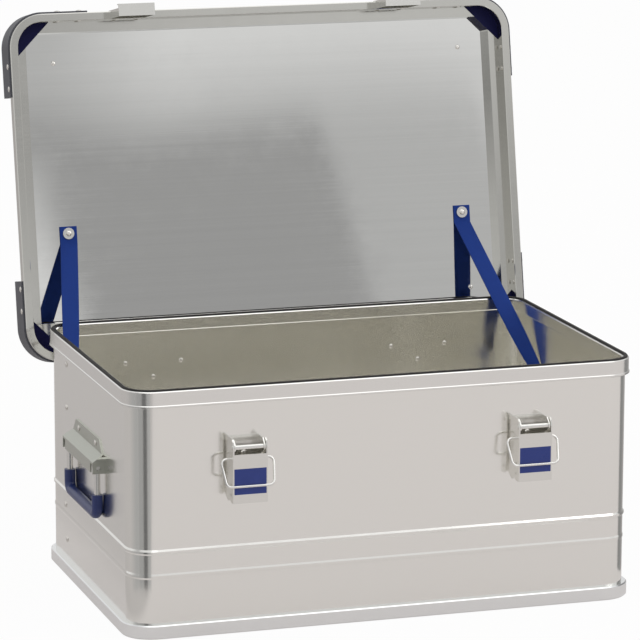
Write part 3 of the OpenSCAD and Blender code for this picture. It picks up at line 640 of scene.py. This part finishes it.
@dataclass
class Strap:
    """One webbing strap, from the lid's inside to the side wall."""

    name: str
    node: str
    side: Side
    shop: Workshop
    width: float = 20 * MM
    thick: float = 1.4 * MM
    edge: float = 0.4 * MM
    gap: float = 0.1 * MM
    steps: int = 36
    across: int = 4
    tip: float = 8 * MM
    tail: float = 12 * MM
    drift: float = 4 * MM
    twist: float = 90.0
    lid_x: float = 236.7 * MM
    lid_y: float = 52.5 * MM
    wall_x: float = 278.0 * MM
    wall_y: float = 72.0 * MM
    wall_z: float = 165.6 * MM
    lid: LidOpening = LidOpening()

    def route(self) -> list[tuple[Vector, float, float]]:
        """Sets out the strap's middle line.

        Returns:
            For each station its point on the right-hand side, its turn about the upright in
            degrees and its distance along the strap.
        """
        stand_off = self.thick / 2 + self.gap
        level = self.lid.sheet_z - stand_off
        top = self.lid.swing(Vector((self.lid_x, self.lid_y - self.tip, level)))
        leave = self.lid.swing(Vector((self.lid_x, self.lid_y + self.tail, level)))
        reach = Vector((self.wall_x - stand_off, self.wall_y + self.drift,
                        self.wall_z + self.tail))
        end = Vector((reach.x, self.wall_y, self.wall_z - self.tip))
        points = [(top, 0.0), (top.lerp(leave, 0.5), 0.0), (leave, 0.0)]
        for number in range(1, self.steps):
            share = number / self.steps
            points.append((leave.lerp(reach, share), -self.twist * share ** 3))
        points += [(point, -self.twist) for point in (reach, reach.lerp(end, 0.5), end)]
        stations: list[tuple[Vector, float, float]] = []
        run = 0.0
        for number, (point, turn) in enumerate(points):
            if number:
                run += (point - points[number - 1][0]).length
            stations.append((point, turn, run))
        return stations

    def build(self) -> bpy.types.Object:
        """Models the strap as a ribbon extruded along its route, then thickened.

        Returns:
            The finished strap.
        """
        deselect()
        stations = self.route()
        start, _, _ = stations[0]
        bpy.ops.mesh.primitive_grid_add(
            x_subdivisions=self.across, y_subdivisions=1, size=1.0, location=(0, 0, 0)
        )
        piece = bpy.context.object
        piece.name = self.name
        piece.data.name = self.name
        bpy.ops.object.mode_set(mode="EDIT")
        bpy.ops.mesh.select_all(action="SELECT")
        bpy.ops.transform.resize(value=(self.width, 1e-6, 1.0), center_override=(0, 0, 0))
        bpy.ops.mesh.remove_doubles(threshold=1e-5)
        bpy.ops.transform.translate(value=start)
        here = start
        facing = 0.0
        for point, turn, _ in stations[1:]:
            bpy.ops.mesh.extrude_edges_move(TRANSFORM_OT_translate={"value": point - here})
            if abs(turn - facing) > 1e-4:
                bpy.ops.transform.rotate(
                    value=math.radians(facing - turn), orient_axis="Z",
                    orient_type="GLOBAL", center_override=point,
                )
            here, facing = point, turn
        bpy.ops.object.mode_set(mode="OBJECT")
        self._lay_out(piece, stations)
        self._thicken(piece)
        if self.side is Side.LEFT:
            self._mirror(piece)
        return piece

    def _lay_out(
        self, piece: bpy.types.Object, stations: list[tuple[Vector, float, float]]
    ) -> None:
        """Writes a UV map in metres: U across the strap, V along it.

        Args:
            piece: The ribbon.
            stations: The strap's route.
        """
        layer = piece.data.uv_layers.new(name="webbing")
        across: dict[int, tuple[float, float]] = {}
        for vertex in piece.data.vertices:
            point, turn, run = min(stations, key=lambda item: (item[0] - vertex.co).length)
            lean = math.radians(turn)
            arm = vertex.co - point
            across[vertex.index] = (arm.x * math.cos(lean) + arm.y * math.sin(lean), run)
        for loop in piece.data.loops:
            layer.data[loop.index].uv = across[loop.vertex_index]

    def _thicken(self, piece: bpy.types.Object) -> None:
        """Gives the ribbon its thickness and rounded edges.

        Args:
            piece: The ribbon.
        """
        bpy.context.view_layer.objects.active = piece
        solid = piece.modifiers.new("thickness", "SOLIDIFY")
        solid.thickness = self.thick
        solid.offset = 0.0
        solid.use_even_offset = True
        edge = piece.modifiers.new("edge", "BEVEL")
        edge.width = self.edge
        edge.segments = 2
        edge.limit_method = "ANGLE"
        edge.angle_limit = math.radians(50)
        for modifier in ("thickness", "edge"):
            bpy.ops.object.modifier_apply(modifier=modifier)
        bpy.ops.object.shade_smooth_by_angle(angle=SMOOTH)

    @staticmethod
    def _mirror(piece: bpy.types.Object) -> None:
        """Mirrors a right-hand strap to the left.

        Args:
            piece: The strap.
        """
        deselect()
        piece.select_set(True)
        bpy.context.view_layer.objects.active = piece
        bpy.ops.object.mode_set(mode="EDIT")
        bpy.ops.mesh.select_all(action="SELECT")
        bpy.ops.transform.mirror(
            constraint_axis=(True, False, False), orient_type="GLOBAL", center_override=(0, 0, 0)
        )
        bpy.ops.mesh.normals_make_consistent(inside=False)
        bpy.ops.object.mode_set(mode="OBJECT")

    def hang(self) -> None:
        """Builds the strap, dresses it and hides the imported strap that it replaces."""
        piece = self.build()
        self.shop.dress(piece, "strap_webbing")
        route = self.route()
        lid_end, wall_end = route[2][0], route[-3][0]
        if self.side is Side.LEFT:
            lid_end, wall_end = (Vector((-p.x, p.y, p.z)) for p in (lid_end, wall_end))
        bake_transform(piece)
        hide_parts(self.node)
        LOG.info("strap %s: %.0f mm long", self.name, route[-1][2] / MM)


# ---- lid sheet ----


@dataclass
class LidPanel:
    """The lid's sheet, its field nearly flat: raised by less than its own thickness.

    Points from edge_in inwards are smoothed, softening times, and field_in is where the raised
    field starts before that.
    """

    shop: Workshop
    width: float = 570 * MM
    depth: float = 365 * MM
    thick: float = 1.0 * MM
    columns: int = 114
    rows: int = 73
    edge_in: float = 9 * MM
    field_in: float = 40 * MM
    rise: float = 0.44 * MM
    softening: int = 1500
    corner: float = 24 * MM
    corner_cuts: tuple[float, ...] = (22.5, 45.0, 67.5)
    lid: LidOpening = LidOpening()

    def _pick(self, piece: bpy.types.Object, inset: float) -> None:
        """Selects the panel's points that lie further in than an inset.

        Args:
            piece: The panel, flat and centred on the origin.
            inset: The distance in from the panel's edges.
        """
        bpy.ops.mesh.select_all(action="DESELECT")
        bpy.ops.object.mode_set(mode="OBJECT")
        for vertex in piece.data.vertices:
            vertex.select = (
                abs(vertex.co.x) < self.width / 2 - inset
                and abs(vertex.co.y) < self.depth / 2 - inset
            )
        bpy.ops.object.mode_set(mode="EDIT")

    def _round_corners(self) -> None:
        """Cuts each corner of the flat panel with a few slanting planes."""
        arm = Vector((self.width / 2 - self.corner, self.depth / 2 - self.corner, 0.0))
        for along in (-1, 1):
            for up in (-1, 1):
                for angle in self.corner_cuts:
                    lean = math.radians(angle)
                    out = Vector((along * math.cos(lean), up * math.sin(lean), 0.0))
                    heart = Vector((along * arm.x, up * arm.y, 0.0))
                    bpy.ops.mesh.select_all(action="SELECT")
                    bpy.ops.mesh.bisect(
                        plane_co=heart + out * self.corner, plane_no=out, clear_outer=True
                    )

    def build(self) -> bpy.types.Object:
        """Models the panel flat, raises and softens its field, and swings it open.

        Returns:
            The finished panel.
        """
        deselect()
        bpy.ops.mesh.primitive_grid_add(
            x_subdivisions=self.columns, y_subdivisions=self.rows, size=1.0, location=(0, 0, 0)
        )
        piece = bpy.context.object
        piece.name = "lid_panel"
        piece.data.name = "lid_panel"
        bpy.ops.object.mode_set(mode="EDIT")
        bpy.ops.mesh.select_mode(type="VERT")
        bpy.ops.mesh.select_all(action="SELECT")
        bpy.ops.transform.resize(value=(self.width, self.depth, 1.0), center_override=(0, 0, 0))
        self._pick(piece, self.field_in)
        bpy.ops.transform.translate(value=(0, 0, self.rise))
        self._pick(piece, self.edge_in)
        bpy.ops.mesh.vertices_smooth(factor=0.5, repeat=self.softening)
        self._round_corners()
        bpy.ops.mesh.select_all(action="SELECT")
        bpy.ops.transform.translate(value=(0, 0, self.lid.sheet_z + self.thick / 2))
        bpy.ops.transform.rotate(
            value=math.radians(self.lid.degrees), orient_axis="X", orient_type="GLOBAL",
            center_override=self.lid.hinge,
        )
        bpy.ops.object.mode_set(mode="OBJECT")
        solid = piece.modifiers.new("thickness", "SOLIDIFY")
        solid.thickness = self.thick
        solid.offset = 0.0
        bpy.ops.object.modifier_apply(modifier=solid.name)
        bpy.ops.object.shade_smooth_by_angle(angle=FOLD)
        return piece

    def fit(self) -> None:
        """Builds the panel, dresses it and fixes it in the lid."""
        piece = self.build()
        self.shop.dress(piece, "lid_aluminium")
        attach(piece, "lid")
        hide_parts("lid_sheet")
        LOG.info("lid panel: %d faces", len(piece.data.polygons))


# ---- latch bails ----


@dataclass
class WireBail:
    """The wire bail of one latch, bent from a single length of round wire.

    The stubs turn in the lever at the pivot, stub from the middle. The wire is top_w wide there
    and bar_w wide at the bar, drop below, and it leans out by leaned degrees.
    """

    side: str
    across: float
    shop: Workshop
    wire: float = 2.8 * MM
    stub: float = 17.0 * MM
    top_w: float = 58.0 * MM
    bar_w: float = 51.0 * MM
    drop: float = 30.283 * MM
    bend: float = 6.0 * MM
    leaned: float = 26.474
    pivot_y: float = -193.6 * MM
    pivot_z: float = 191.2 * MM
    sides: int = 16
    bend_steps: int = 8

    @staticmethod
    def _draw(reach: Vector) -> None:
        """Draws the wire's open end straight on.

        Args:
            reach: The way that the end goes.
        """
        bpy.ops.mesh.extrude_region_move(TRANSFORM_OT_translate={"value": tuple(reach)})

    def _turn(self, heart: Triple, angle: float) -> None:
        """Bends the wire's open end down round a centre.

        Args:
            heart: The centre of the bend.
            angle: The turn, in radians.
        """
        bpy.ops.mesh.spin(steps=self.bend_steps, angle=-angle, center=heart, axis=(0, 1, 0))

    def _half(self) -> None:
        """Bends the right half, from the stub in the lever to the bar's middle."""
        lean = math.atan((self.top_w - self.bar_w) / 2 / self.drop)
        quarter = math.radians(90)
        top_cut = self.bend * math.tan((quarter + lean) / 2)
        low_cut = self.bend * math.tan((quarter - lean) / 2)
        leg = Vector((-math.sin(lean), 0.0, -math.cos(lean)))
        leg_len = self.drop / math.cos(lean)
        top_x = self.top_w / 2 - top_cut
        low_x = self.bar_w / 2 - low_cut
        self._draw(Vector((top_x - self.stub, 0.0, 0.0)))
        self._turn((top_x, 0.0, -self.bend), quarter + lean)
        self._draw(leg * (leg_len - top_cut - low_cut))
        self._turn((low_x, 0.0, self.bend - self.drop), quarter - lean)
        self._draw(Vector((-low_x, 0.0, 0.0)))

    def build(self) -> bpy.types.Object:
        """Bends the wire, mirrors it and leans it out onto the lever.

        Returns:
            The finished bail.
        """
        deselect()
        bpy.ops.mesh.primitive_circle_add(
            vertices=self.sides, radius=self.wire / 2, fill_type="NOTHING",
            location=(0, 0, 0), rotation=(0, math.radians(90), 0),
        )
        piece = bpy.context.object
        piece.name = f"wire_bail_{self.side}"
        piece.data.name = piece.name
        bpy.ops.object.transform_apply(location=True, rotation=True, scale=True)
        bpy.ops.object.mode_set(mode="EDIT")
        bpy.ops.mesh.select_mode(type="VERT")
        bpy.ops.mesh.select_all(action="SELECT")
        bpy.ops.transform.translate(value=(self.stub, 0, 0))
        self._half()
        bpy.ops.object.mode_set(mode="OBJECT")
        mirror = piece.modifiers.new("other_half", "MIRROR")
        mirror.merge_threshold = MERGE
        bpy.ops.object.modifier_apply(modifier=mirror.name)
        bpy.ops.object.mode_set(mode="EDIT")
        bpy.ops.mesh.select_all(action="SELECT")
        bpy.ops.mesh.remove_doubles(threshold=MERGE)
        bpy.ops.mesh.fill_holes(sides=0)
        bpy.ops.mesh.select_all(action="SELECT")
        bpy.ops.mesh.normals_make_consistent(inside=False)
        bpy.ops.object.mode_set(mode="OBJECT")
        piece.rotation_euler = (math.radians(-self.leaned), 0.0, 0.0)
        piece.location = (self.across, self.pivot_y, self.pivot_z)
        bpy.ops.object.transform_apply(location=True, rotation=True, scale=True)
        bpy.ops.object.shade_smooth_by_angle(angle=SMOOTH)
        return piece

    def fit(self) -> None:
        """Builds the bail, dresses it and hangs it on its body."""
        piece = self.build()
        self.shop.dress(piece, "bright_steel")
        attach(piece, f"bail_{self.side}")
        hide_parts(f"latch_bail_{self.side}")
        LOG.info("bail %s: %d faces", self.side, len(piece.data.polygons))


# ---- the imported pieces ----


@dataclass
class Metalwork:
    """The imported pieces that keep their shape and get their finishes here."""

    nodes: dict[str, bpy.types.Object]
    slots: dict[str, str]
    shop: Workshop

    def dress(self) -> None:
        """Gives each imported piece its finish."""
        for node, piece in self.nodes.items():
            finish = VARIANTS.get(node, self.slots[node])
            self.shop.dress(piece, finish)
            LOG.info("dressed %s as %s", node, finish)


# ---- studio ----


# X and Y of the upright line that each of the box's front corners is rounded about
LEFT_HEART: Span = (-0.251, -0.151)
RIGHT_HEART: Span = (0.251, -0.151)


@dataclass(frozen=True)
class Softbox:
    """One rectangular lamp."""

    name: str
    place: Triple
    aim: Triple
    size: Span
    power: float

    def build(self) -> None:
        """Adds the lamp to the scene."""
        lamp = bpy.data.lights.new(self.name, "AREA")
        lamp.shape = "RECTANGLE"
        lamp.size, lamp.size_y = self.size
        lamp.energy = self.power
        holder = bpy.data.objects.new(self.name, lamp)
        bpy.context.scene.collection.objects.link(holder)
        holder.location = self.place
        toward = Vector(self.aim) - Vector(self.place)
        holder.rotation_euler = toward.to_track_quat("-Z", "Y").to_euler()


@dataclass(frozen=True)
class Flag:
    """An upright grey card near a corner of the box, seen only in its reflections.

    It spans two bearings, in degrees, at a radius from the heart of the box's rounded corner.
    Fade gives the share of its width that fades out at its start and at its end.
    """

    name: str
    heart: Span
    bearings: Span
    grey: float
    radius: float = 0.22
    height: float = 0.34
    fade: Span = (0.05, 0.05)
    top_fade: Span = (0.8, 1.0)

    def _end(self, bearing: float) -> Vector:
        """Returns the card's foot at one bearing, in degrees."""
        turn = math.radians(bearing)
        return Vector((self.heart[0] + self.radius * math.cos(turn),
                       self.heart[1] + self.radius * math.sin(turn), 0.0))

    def _paint(self) -> bpy.types.Material:
        """Makes the card's grey, which fades out at its ends and its top.

        Returns:
            The material.
        """
        material, graph = new_material(self.name)
        glow = graph.glow(WHITE, self.grey)
        clear = graph.add("ShaderNodeBsdfTransparent")
        flat = graph.add("ShaderNodeTexCoord", output="UV")
        along = graph.add("ShaderNodeSeparateXYZ", {}, {"Vector": flat})
        upward = along.output(1)
        solid = along.step(0.0, self.fade[0]) * (1.0 - along.step(1.0 - self.fade[1], 1.0))
        solid = solid * (1.0 - upward.step(*self.top_fade))
        graph.surface(graph.mix_shaders(solid, clear, glow))
        return material

    def build(self) -> None:
        """Stands the card on the floor, as the chord between its two bearings."""
        ends = [self._end(bearing) for bearing in self.bearings]
        span = ends[1] - ends[0]
        middle = (ends[0] + ends[1]) / 2 + Vector((0.0, 0.0, self.height / 2))
        deselect()
        bpy.ops.mesh.primitive_plane_add(size=1.0, location=(0, 0, 0))
        card = bpy.context.object
        card.name = self.name
        card.scale = (span.length, self.height, 1.0)
        card.rotation_euler = (math.radians(90), 0.0, math.atan2(span.y, span.x))
        card.location = middle
        card.data.materials.append(self._paint())
        card.visible_camera = False
        card.visible_diffuse = False
        card.visible_shadow = False
        card.visible_transmission = False


@dataclass(frozen=True)
class Floor:
    """The pale floor, which shows white, keeps a soft shadow and is mirrored a little lighter.

    Left of the box, where X is under beside, mirrors see it darker: a painted shade, a dark glow
    mixed in for glossy rays only.
    """

    size: float = 40.0
    pale: Colour = (0.69, 0.66, 0.652)
    # colour of the painted shade that mirrors see on the floor left of the box
    dim: Colour = (0.2, 0.195, 0.19)
    seen_white: float = 0.96
    lift: float = 0.5
    dimming: float = 0.3
    beside: Span = (-0.37, -0.31)

    def build(self) -> None:
        """Lays the floor."""
        deselect()
        bpy.ops.mesh.primitive_plane_add(size=self.size, location=(0, 0, 0))
        floor = bpy.context.object
        floor.name = "studio_floor"
        material, graph = new_material("studio_floor")
        seen = graph.add("ShaderNodeLightPath", output="Is Camera Ray")
        mirrored = graph.add("ShaderNodeLightPath", output="Is Glossy Ray")
        pale = graph.add("ShaderNodeBsdfDiffuse", {}, {"Color": self.pale})
        lifted = graph.mix_shaders(mirrored * self.lift, pale, graph.glow(self.pale))
        place = graph.add("ShaderNodeNewGeometry", output="Position")
        across = graph.add("ShaderNodeSeparateXYZ", {}, {"Vector": place})
        beside = 1.0 - across.step(*self.beside)
        # painted shade: left of the box, glossy rays see the floor as a dark glow
        with_painted_shade = graph.mix_shaders(mirrored * beside * self.dimming, lifted, graph.glow(self.dim))
        graph.surface(graph.mix_shaders(seen * self.seen_white, with_painted_shade, graph.glow(WHITE)))
        floor.data.materials.append(material)


@dataclass(frozen=True)
class Surroundings:
    """What lies around the studio: white to the camera, and pale grey with soft shapes in mirrors.

    The shapes stand low in front, where the open lid mirrors them. Each span is where a shape
    rises or falls, as the X or Z part of a direction of length one, and each depth is how much
    darker or lighter it is.
    """

    level: float = 0.8
    front: Span = (0.3, 0.8)
    foot: Span = (0.1, 0.15)
    drop: Span = (0.203, 0.232)
    drop_depth: float = 0.27
    window: Span = (0.234, 0.2425)
    window_lean: float = 0.28
    window_end: Span = (0.357, 0.3595)
    dark: Span = (0.205, 0.2165)
    dark_depth: float = 0.15
    corner: Span = (0.228, 0.266)
    corner_foot: Span = (0.203, 0.216)
    corner_head: Span = (0.25, 0.3)
    corner_depth: float = 0.27
    strip: Span = (0.177, 0.207)
    strip_depth: float = 0.25
    edge: Span = (0.331, 0.3375)
    edge_foot: Span = (0.192, 0.206)
    edge_head: Span = (0.212, 0.222)
    edge_depth: float = 0.13

    def _pattern(self, across: Value, toward: Value, height: Value) -> Value:
        """Works out how bright each direction is.

        Args:
            across: The direction's X.
            toward: Its Y, towards the back.
            height: Its Z.

        Returns:
            The brightness.
        """
        front = (0.0 - toward).step(*self.front)
        slant = across + height * self.window_lean
        window = across.step(*self.window) * (1.0 - slant.step(*self.window_end))
        drop = (1.0 - height.step(*self.drop)) * self.drop_depth
        dark = window * (1.0 - height.step(*self.dark)) * self.dark_depth
        corner = (1.0 - across.step(*self.corner)) * height.step(*self.corner_foot)
        corner = corner * (1.0 - height.step(*self.corner_head)) * self.corner_depth
        strip = (1.0 - across.step(*self.window)) * (1.0 - height.step(*self.strip))
        strip = strip * self.strip_depth
        edge = across.step(*self.edge) * height.step(*self.edge_foot)
        edge = edge * (1.0 - height.step(*self.edge_head)) * self.edge_depth
        shapes = drop + dark + corner - strip - edge
        return self.level - front * height.step(*self.foot) * shapes

    def build(self) -> None:
        """Sets the world."""
        world = bpy.data.worlds.new("studio")
        bpy.context.scene.world = world
        world.use_nodes = True
        graph = Graph(world.node_tree)
        way = graph.add("ShaderNodeTexCoord", output="Generated")
        across = graph.add("ShaderNodeSeparateXYZ", {}, {"Vector": way})
        level = self._pattern(across, across.output(1), across.output(2))
        seen = graph.add("ShaderNodeLightPath", output="Is Camera Ray")
        shown = seen.most(level * (1.0 - seen))
        light = graph.add("ShaderNodeBackground", {}, {"Color": WHITE, "Strength": shown})
        graph.add("ShaderNodeOutputWorld", {}, {"Surface": light})


@dataclass
class Studio:
    """Floor, surroundings, lamps, flags and camera."""

    floor: Floor = Floor()
    surroundings: Surroundings = Surroundings()
    lamps: tuple[Softbox, ...] = (
        Softbox("lamp_top", (0.3, -0.6, 3.2), (0.0, 0.0, 0.2), (3.0, 3.0), 18.0),
        Softbox("lamp_right", (2.6, -2.4, 2.4), (0.0, 0.0, 0.2), (1.6, 2.4), 22.0),
    )
    flags: tuple[Flag, ...] = (
        Flag("flag_left", LEFT_HEART, (160.0, 205.0), 0.40, fade=(0.9, 0.05)),
        Flag("flag_left_middle", LEFT_HEART, (205.0, 226.0), 0.36),
        Flag("flag_left_dark", LEFT_HEART, (226.0, 243.0), 0.14),
        Flag("flag_left_front", LEFT_HEART, (243.0, 256.0), 0.42),
        Flag("flag_right", RIGHT_HEART, (-12.0, 62.0), 0.25, radius=0.14, fade=(0.1, 0.8)),
    )
    mirror_bounces: int = 12
    target: Triple = (-0.01714, 0.0, 0.29050)
    distance: float = 4.17706
    azimuth: float = -17.686
    elevation: float = 11.738
    roll: float = 0.11
    focal: float = 214.93
    sensor: float = 36.0
    far: float = 100.0

    def place_camera(self) -> None:
        """Creates the camera at the box's usual viewing angle."""
        data = bpy.data.cameras.new("camera")
        data.lens = self.focal
        data.sensor_width = self.sensor
        data.clip_end = self.far
        camera = bpy.data.objects.new("camera", data)
        bpy.context.scene.collection.objects.link(camera)
        azimuth, elevation = math.radians(self.azimuth), math.radians(self.elevation)
        back = Vector((
            math.sin(azimuth) * math.cos(elevation),
            -math.cos(azimuth) * math.cos(elevation),
            math.sin(elevation),
        ))
        camera.location = Vector(self.target) + self.distance * back
        aim = (-back).to_track_quat("-Z", "Y").to_matrix()
        camera.rotation_euler = (aim @ Matrix.Rotation(math.radians(self.roll), 3, "Z")).to_euler()
        bpy.context.scene.camera = camera

    def build(self) -> None:
        """Sets the whole studio up."""
        for piece in (self.floor, self.surroundings, *self.lamps, *self.flags):
            piece.build()
        self.place_camera()
        bpy.context.scene.cycles.glossy_bounces = self.mirror_bounces
        bpy.context.scene.view_settings.view_transform = "Standard"


def main() -> None:
    """Builds and dresses the box, then sets up the studio."""
    logging.basicConfig(level=logging.INFO, format="%(name)s: %(message)s")
    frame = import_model()
    shop = Workshop()
    slots = {part["node"]: part["material_slot"] for part in frame["record"]["subparts"]}
    Metalwork(frame["nodes"], slots, shop).dress()
    LidPanel(shop).fit()
    for side in Side:
        WireBail(side.word, side.value * LATCH_X, shop).fit()
        Strap(f"webbing_strap_{side.word}", f"strap_{side.word}", side, shop).hang()
    Studio().build()


if __name__ == "__main__":
    main()
